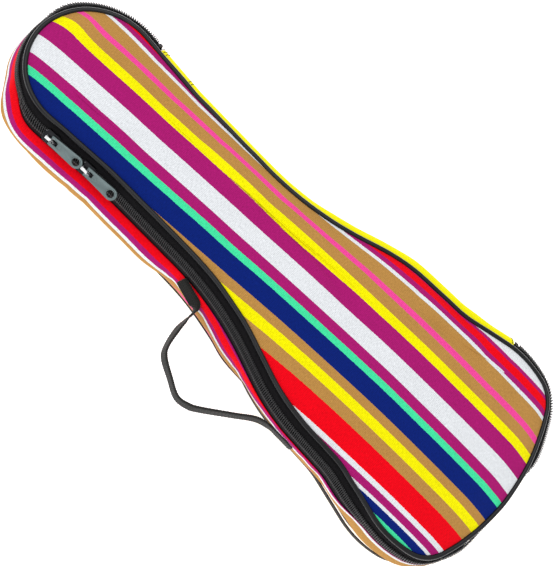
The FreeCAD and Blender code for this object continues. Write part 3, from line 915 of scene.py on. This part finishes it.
lid_coil = coil_side("lid_coil", -1, 0.0)
base_coil = coil_side("base_coil", 1, 0.5)
bpy.data.objects.remove(tooth)
finish_piece(lid_coil, nylon, "lid", "zip_coil", "lid_zip_coil")
finish_piece(base_coil, nylon, "base", "zip_coil", "base_zip_coil")

# ---- Cloth hinge ----
# A strip of plain yellow cotton, cut from the same cloth's yellow stripe, joins the lid to the
# wall on the right. It bows outward, and its raw ends are caught with black thread.
yellow_cotton = cloth_material("yellow_cotton", dye(dyes["yellow"]), fleck=0.06)[0]
CLOTH = 0.0010


def hinge_line(station):
    y = seam[station][0].y
    bow = 0.0004 * noise.noise((station * 0.09, 3, 0)) - 0.0014 * smooth(-0.010, 0.020, y)
    bow += 0.0016 * smooth(-0.180, -0.150, y) * smooth(-0.060, -0.090, y)
    spine = [(0.0043, seam_z - 0.0013), (0.0060, seam_z - 0.0014), (0.0092, seam_z - 0.0030),
             (0.0122, seam_z - 0.0060), (0.0144, seam_z - 0.0098), (0.0156, seam_z - 0.0140),
             (0.0161, seam_z - 0.0185), (0.0161, strip_low.z)]
    outer = [(out + bow * smooth(0.004, 0.012, out), z) for out, z in spine]
    inner = []
    for i, (out, z) in enumerate(outer):
        a, b = outer[max(i - 1, 0)], outer[min(i + 1, len(outer) - 1)]
        run = math.hypot(b[0] - a[0], b[1] - a[1])
        inner.append((out + (b[1] - a[1]) / run * CLOTH, z - (b[0] - a[0]) / run * CLOTH))
    return outer + inner[::-1]


hinge_cloth = wrap("hinge_cloth", hinge_line, lambda s: not zipped(s), closed=True)
finer(hinge_cloth)
hinge_cloth.data.materials.clear()
hinge_cloth.data.materials.append(yellow_cotton)
joints = {joint["name"]: joint for joint in frame["joints"]}
hinge_x = joints["lid_hinge"]["pos_m"][0]
fold_start = (hinge_x, 0, seam_z - 0.018)
fold_end = (hinge_x, 0, seam_z - 0.002)
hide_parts("hinge_strip")
strip_spine = hinge_line(STATIONS // 4)[:8]
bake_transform(hinge_cloth, "base", "lid", start=fold_start, end=fold_end)

# ---- Hinge stitches ----
# Short bars of black thread across the strip: a cluster at its head end, where it is sewn over
# the zip's end, one pair farther down and one at its foot.
stitch_parts = []
right_side = [i for i in range(STATIONS) if seam[i][0].x > 0]
for rank, y in enumerate((0.1985, 0.1955, 0.1925, 0.1630, 0.1600, -0.1985)):
    station = min(right_side, key=lambda i: abs(seam[i][0].y - y))
    point, outward = seam[station]
    line = hinge_line(station)
    along = Vector((-outward.y, outward.x, 0)) * (y - point.y)
    for step in range(1, 5 if rank not in (3, 4) else 3):
        (o0, z0), (o1, z1) = line[step], line[step + 1]
        start = Vector((point.x + outward.x * o0, point.y + outward.y * o0, z0)) + along
        end = Vector((point.x + outward.x * o1, point.y + outward.y * o1, z1)) + along
        way = end - start
        lift = Vector((outward.x, outward.y, 1)).normalized() * 0.00015
        bpy.ops.object.select_all(action="DESELECT")
        bpy.ops.mesh.primitive_uv_sphere_add(
            segments=8, ring_count=6, radius=0.0005, location=start + way * 0.5 + lift,
            rotation=way.to_track_quat("Z", "Y").to_euler())
        bar = bpy.context.active_object
        bar.scale = (0.8, 0.8, way.length / 0.0010 * 0.85)
        stitch_parts.append(bar)
bpy.ops.object.select_all(action="DESELECT")
for bar in stitch_parts:
    bar.select_set(True)
bpy.context.view_layer.objects.active = stitch_parts[0]
bpy.ops.object.join()
hinge_stitches = bpy.context.active_object
hinge_stitches.name = "hinge_stitches"
bpy.ops.object.transform_apply(location=True, rotation=True, scale=True)
bpy.ops.object.shade_smooth()

# ---- Seam bindings and zip end tacks ----
# Bindings cover the raw seam edges inside the bag; bar tacks of black thread stop the sliders.
binding, binding_tree, binding_shader = new_material("binding")
thread_black, thread_tree, thread_shader = new_material("thread")
for tree, shader, tone, scale in (
    (binding_tree, binding_shader, (34, 34, 36), 700.0),
    (thread_tree, thread_shader, (26, 26, 28), 1500.0),
):
    shader.inputs["Roughness"].default_value = 0.8
    where = tree.nodes.new("ShaderNodeTexCoord")
    ribs = noise_node(tree, where.outputs["Object"], scale, 1.0)
    dark = tuple(c * 0.6 for c in dye(tone)[:3]) + (1,)
    tree.links.new(mix_colour(tree, ribs, dark, dye(tone)), shader.inputs["Base Color"])
    relief(tree, shader, ribs, 0.0002)
hinge_stitches.data.materials.append(thread_black)
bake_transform(hinge_stitches, "base", "lid", start=fold_start, end=fold_end)
for name, material in (
    ("front_seam_binding", binding),
    ("back_seam_binding", binding),
    ("zip_end_tack_head", thread_black),
    ("zip_end_tack_foot", thread_black),
):
    node = frame["nodes"][name]
    if not node.material_slots:
        node.data.materials.append(material)
    for spot in node.material_slots:
        spot.link = "OBJECT"
        spot.material = material

# ---- Sliders ----
# Two die-cast sliders, painted black, with a painted highlight of bright bare metal on the
# corners of the bridge that holds the pull tab. They run on the coil and meet head to head.
# Painted highlight: bright metal mixed into the paint where the highlight input is high, its edge broken by
# noise; the same noise varies the roughness.
glint_metal, given, result = group(
    "glint_metal", [("Glint", "value", 0.0), ("Paint", "colour", (0.1, 0.1, 0.1, 1))],
    [("Colour", "colour"), ("Roughness", "value"), ("Height", "value")])
place = glint_metal.nodes.new("ShaderNodeTexCoord")
metal_noise = noise_node(glint_metal, place.outputs["Object"], 500.0, 4.0)
fine = noise_node(glint_metal, place.outputs["Object"], 2200.0, 2.0)
glint_mask = math_node(glint_metal, "MULTIPLY", metal_noise, 0.7)
glint_mask = math_node(glint_metal, "ADD", given.outputs["Glint"], glint_mask)
glint_mask = math_node(glint_metal, "SUBTRACT", glint_mask, 0.85)
glint_mask = math_node(glint_metal, "MULTIPLY", glint_mask, 7.0, clamp=True)
tone = mix_colour(glint_metal, glint_mask, given.outputs["Paint"], (0.80, 0.81, 0.82, 1))
glint_metal.links.new(tone, result.inputs["Colour"])
matt = math_node(glint_metal, "ADD", math_node(glint_metal, "MULTIPLY", metal_noise, 0.25), 0.24)
glint_metal.links.new(matt, result.inputs["Roughness"])
glint_metal.links.new(fine, result.inputs["Height"])


def metal_material(name, paint):
    """Painted metal, with a painted highlight of bright metal where its glint attribute is high."""
    material, tree, shader = new_material(name)
    shader.inputs["Metallic"].default_value = 0.85
    glint = tree.nodes.new("ShaderNodeAttribute")
    glint.attribute_name = "glint"
    paint_and_glint = tree.nodes.new("ShaderNodeGroup")
    paint_and_glint.node_tree = bpy.data.node_groups["glint_metal"]
    paint_and_glint.inputs["Paint"].default_value = paint
    tree.links.new(glint.outputs["Fac"], paint_and_glint.inputs["Glint"])
    tree.links.new(paint_and_glint.outputs["Colour"], shader.inputs["Base Color"])
    tree.links.new(paint_and_glint.outputs["Roughness"], shader.inputs["Roughness"])
    relief(tree, shader, paint_and_glint.outputs["Height"], 0.00003)
    return material


slider_metal = metal_material("slider_metal", dye((38, 38, 41)))
pull_metal = metal_material("pull_metal", dye((104, 117, 118)))


def pull_axes(side):
    """The crossbar, and the pull's directions: ahead towards the head, across the chain, off it."""
    ahead = Vector(joints["slider_" + side + "_travel"]["axis"]).normalized()
    if side == "lower":
        ahead = -ahead
    swing = joints["pull_" + side + "_swing"]
    across = Vector(swing["axis"]).normalized()
    if across.z > 0:
        across = -across
    off = across.cross(ahead)
    if off.z < 0:
        off = -off
    return Vector(swing["pos_m"]), ahead, across, off


def metal_part(node_name, name, glint_near, reach):
    """A metal part from its CAD form: edges rounded as cast, a painted highlight near one point."""
    mesh = frame["nodes"][node_name].data.copy()
    part = bpy.data.objects.new(name, mesh)
    scene.collection.objects.link(part)
    part.matrix_world = frame["nodes"][node_name].matrix_world
    take(part)
    bpy.ops.object.transform_apply(location=True, rotation=True, scale=True)
    bpy.ops.object.mode_set(mode="EDIT")
    bpy.ops.mesh.select_all(action="SELECT")
    bpy.ops.mesh.remove_doubles(threshold=0.000005)
    bpy.ops.mesh.dissolve_limited(angle_limit=math.radians(1.5))
    bpy.ops.mesh.normals_make_consistent(inside=False)
    bpy.ops.object.mode_set(mode="OBJECT")
    rounding = part.modifiers.new("rounding", "BEVEL")
    rounding.width = 0.00022
    rounding.segments = 2
    rounding.angle_limit = math.radians(40)
    bpy.ops.object.modifier_apply(modifier="rounding")
    bpy.ops.object.shade_smooth_by_angle(angle=math.radians(45))
    # Painted highlight: strongest at the given point, fading out over reach.
    glint = part.data.attributes.new("glint", "FLOAT", "POINT")
    for vertex, value in zip(part.data.vertices, glint.data):
        value.value = max(0.0, 1 - (vertex.co - glint_near).length / reach)
    return part


RIM_OFF = 0.00068
for side in ("upper", "lower"):
    bar, ahead, across, off = pull_axes(side)
    slider = "slider_" + side
    # The painted highlights sit on the slider's nose, the bridge's arch and the tab's neck.
    nose = bar + ahead * 0.0055 - across * 0.001 + off * 0.001
    body = metal_part(slider + "_body", slider, nose, 0.0085)
    finish_piece(body, slider_metal, slider, "slider_metal", slider + "_body")
    arch = bar + ahead * 0.003 + off * 0.002
    bridge = metal_part(slider + "_bridge", "bridge_" + side, arch, 0.0125)
    finish_piece(bridge, slider_metal, slider, "slider_metal", slider + "_bridge")

    # The tab hangs from the crossbar: a flat steel tongue with a raised rim round its end hole
    # and two struck dashes near its neck.
    tab_node = "pull_tab_" + side
    tab = metal_part(tab_node, tab_node + "_visual", bar - ahead * 0.002, 0.0065)
    hole = bar - ahead * 0.0259
    turn = Matrix((across, -ahead, off)).transposed().to_euler()
    bpy.ops.object.select_all(action="DESELECT")
    rims = []
    for face in (off, -off):
        bpy.ops.mesh.primitive_torus_add(
            major_segments=32, minor_segments=8, major_radius=0.0039, minor_radius=0.00042,
            location=hole + face * RIM_OFF, rotation=turn)
        rims.append(bpy.context.active_object)
    for shift in (0.0100, 0.0135):
        spot = bar - ahead * shift + off * 0.00072
        bpy.ops.mesh.primitive_cube_add(size=1, location=spot, rotation=turn)
        dash = bpy.context.active_object
        dash.scale = (0.0030, 0.0007, 0.0003)
        dash.select_set(True)
        tab.select_set(True)
        bpy.context.view_layer.objects.active = tab
        bpy.ops.object.join()
        bpy.ops.object.select_all(action="DESELECT")
    for ring in rims:
        ring.select_set(True)
    tab.select_set(True)
    bpy.context.view_layer.objects.active = tab
    bpy.ops.object.join()
    bpy.ops.object.shade_smooth_by_angle(angle=math.radians(45))
    finish_piece(tab, pull_metal, "pull_" + side, "pull_metal", tab_node)

# ---- Carrying handle ----
# One length of ribbed black webbing, sewn to the wall at both ends. Its upper end stands off
# the wall face-up, twists on edge and hangs in a loop; its lower end lies flat on the wall.
webbing = cloth_material("webbing", dye((30, 30, 28)), pitch=0.0017, fleck=0.25, sheen=0.2,
                         depth=0.0005, rough=0.7)[0]
WEB_WIDE = 0.011
WEB_THICK = 0.0014
SECTION_POINTS = 10
# The strap's path from its upper end to its lower: a place on its middle line, and the
# direction across its width there.
handle_route = [
    ((-0.0668, 0.0485, 0.0462), (-0.51, 0.49, -0.71)),
    ((-0.0695, 0.0360, 0.0440), (-0.58, 0.25, -0.77)),
    ((-0.0716, 0.0265, 0.0410), (-0.62, -0.02, -0.78)),
    ((-0.0765, 0.0225, 0.0375), (-0.30, -0.20, -0.92)),
    ((-0.0840, 0.0220, 0.0330), (-0.10, 0.10, -0.97)),
    ((-0.0940, 0.0216, 0.0280), (-0.08, 0.28, -0.94)),
    ((-0.1080, 0.0184, 0.0235), (-0.11, 0.18, -0.96)),
    ((-0.1162, 0.0128, 0.0218), (-0.18, 0.12, -0.95)),
    ((-0.1246, -0.0022, 0.0203), (-0.14, 0.02, -0.97)),
    ((-0.1314, -0.0170, 0.0178), (-0.16, -0.04, -0.97)),
    ((-0.1300, -0.0288, 0.0178), (-0.23, -0.13, -0.95)),
    ((-0.1254, -0.0382, 0.0195), (-0.23, -0.13, -0.95)),
    ((-0.1100, -0.0612, 0.0232), (-0.20, -0.12, -0.96)),
    ((-0.0998, -0.0770, 0.0275), (-0.18, -0.10, -0.97)),
    ((-0.0978, -0.0890, 0.0325), (0, 0, -1)),
    ((-0.0986, -0.1000, 0.0360), (0, 0, -1)),
    ((-0.0990, -0.1140, 0.0365), (0, 0, -1)),
]


def along_route(points, position):
    """A point on a smooth curve through the route's points."""
    k = min(int(position), len(points) - 2)
    t = position - k
    a, b, c, d = (points[min(max(k + j, 0), len(points) - 1)] for j in (-1, 0, 1, 2))
    return 0.5 * (2 * b + (c - a) * t + (2 * a - 5 * b + 4 * c - d) * t ** 2
                  + (3 * b - a - 3 * c + d) * t ** 3)


STEPS = 40
places = [Vector(place) for place, wide in handle_route]
widths = [Vector(wide).normalized() for place, wide in handle_route]
positions = [i / STEPS for i in range(STEPS * (len(places) - 1) + 1)]
fine_route = [along_route(places, position) for position in positions]
fine_width = [along_route(widths, position) for position in positions]
RIB = 0.00085
ribs = [(fine_route[0], fine_width[0])]
walked = 0.0
for before, here, wide in zip(fine_route, fine_route[1:], fine_width[1:]):
    walked += (here - before).length
    if walked >= RIB:
        walked = 0.0
        ribs.append((here, wide))
bpy.ops.object.select_all(action="DESELECT")
bpy.ops.mesh.primitive_circle_add(vertices=SECTION_POINTS, radius=0.001)
handle = bpy.context.active_object
handle.name = handle.data.name = "carry_strap"
half, thick_half = WEB_WIDE / 2, WEB_THICK / 2
upper = [(half, 0.35), (half - 0.0004, 1), (0.0018, 1), (-0.0018, 1), (-half + 0.0004, 1)]
section = upper + [(-across, -high) for across, high in upper]
bpy.ops.object.mode_set(mode="EDIT")
mesh = bmesh.from_edit_mesh(handle.data)
order = mesh.verts.layers.int.new("order")
mesh.verts.ensure_lookup_table()
for i, vertex in enumerate(mesh.verts):
    vertex[order] = i
bmesh.update_edit_mesh(handle.data)
bpy.ops.mesh.select_all(action="SELECT")
for i, (here, wide) in enumerate(ribs):
    if i:
        bpy.ops.mesh.extrude_edges_move()
    mesh = bmesh.from_edit_mesh(handle.data)
    order = mesh.verts.layers.int["order"]
    tangent = (ribs[min(i + 1, len(ribs) - 1)][0] - ribs[max(i - 1, 0)][0]).normalized()
    wide = (wide - tangent * wide.dot(tangent)).normalized()
    face = tangent.cross(wide)
    swell = 1.22 if i % 2 else 0.85
    ends = 0.82 if i in (0, len(ribs) - 1) else 1.0
    for vertex in mesh.verts:
        if vertex.select:
            across, high = section[vertex[order]]
            vertex.co = here + wide * across * ends + face * high * thick_half * swell
    bmesh.update_edit_mesh(handle.data)
bpy.ops.mesh.select_all(action="DESELECT")
bpy.ops.mesh.select_mode(type="EDGE")
bpy.ops.mesh.select_non_manifold()
bpy.ops.mesh.edge_face_add()
bpy.ops.mesh.select_mode(type="VERT")
bpy.ops.mesh.select_all(action="SELECT")
bpy.ops.mesh.normals_make_consistent(inside=False)
bpy.ops.object.mode_set(mode="OBJECT")
cloth = handle.data.uv_layers.get("UVMap") or handle.data.uv_layers.new(name="cloth")
cloth.name = "cloth"
for face in handle.data.polygons:
    for k in face.loop_indices:
        vertex = handle.data.loops[k].vertex_index
        rib, corner = divmod(vertex, SECTION_POINTS)
        cloth.data[k].uv = (section[corner][0], rib * RIB)
bpy.ops.object.shade_smooth_by_angle(angle=math.radians(50))
handle.data.materials.clear()
handle.data.materials.append(webbing)
pivot = Vector(joints["handle_swing"]["pos_m"])
pivot_axis = Vector(joints["handle_swing"]["axis"])
outward = Vector((-abs(pivot_axis.y), abs(pivot_axis.x), 0))
loop_start, loop_end = pivot + outward * 0.001, pivot + outward * 0.018
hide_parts("handle_webbing", "handle_end_upper", "handle_end_lower")
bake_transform(handle, "base", "handle", start=tuple(loop_start), end=tuple(loop_end))

size = {
    "cad": [list(corner) for corner in cad_bounds],
    "visual": [list(corner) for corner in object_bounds()],
}
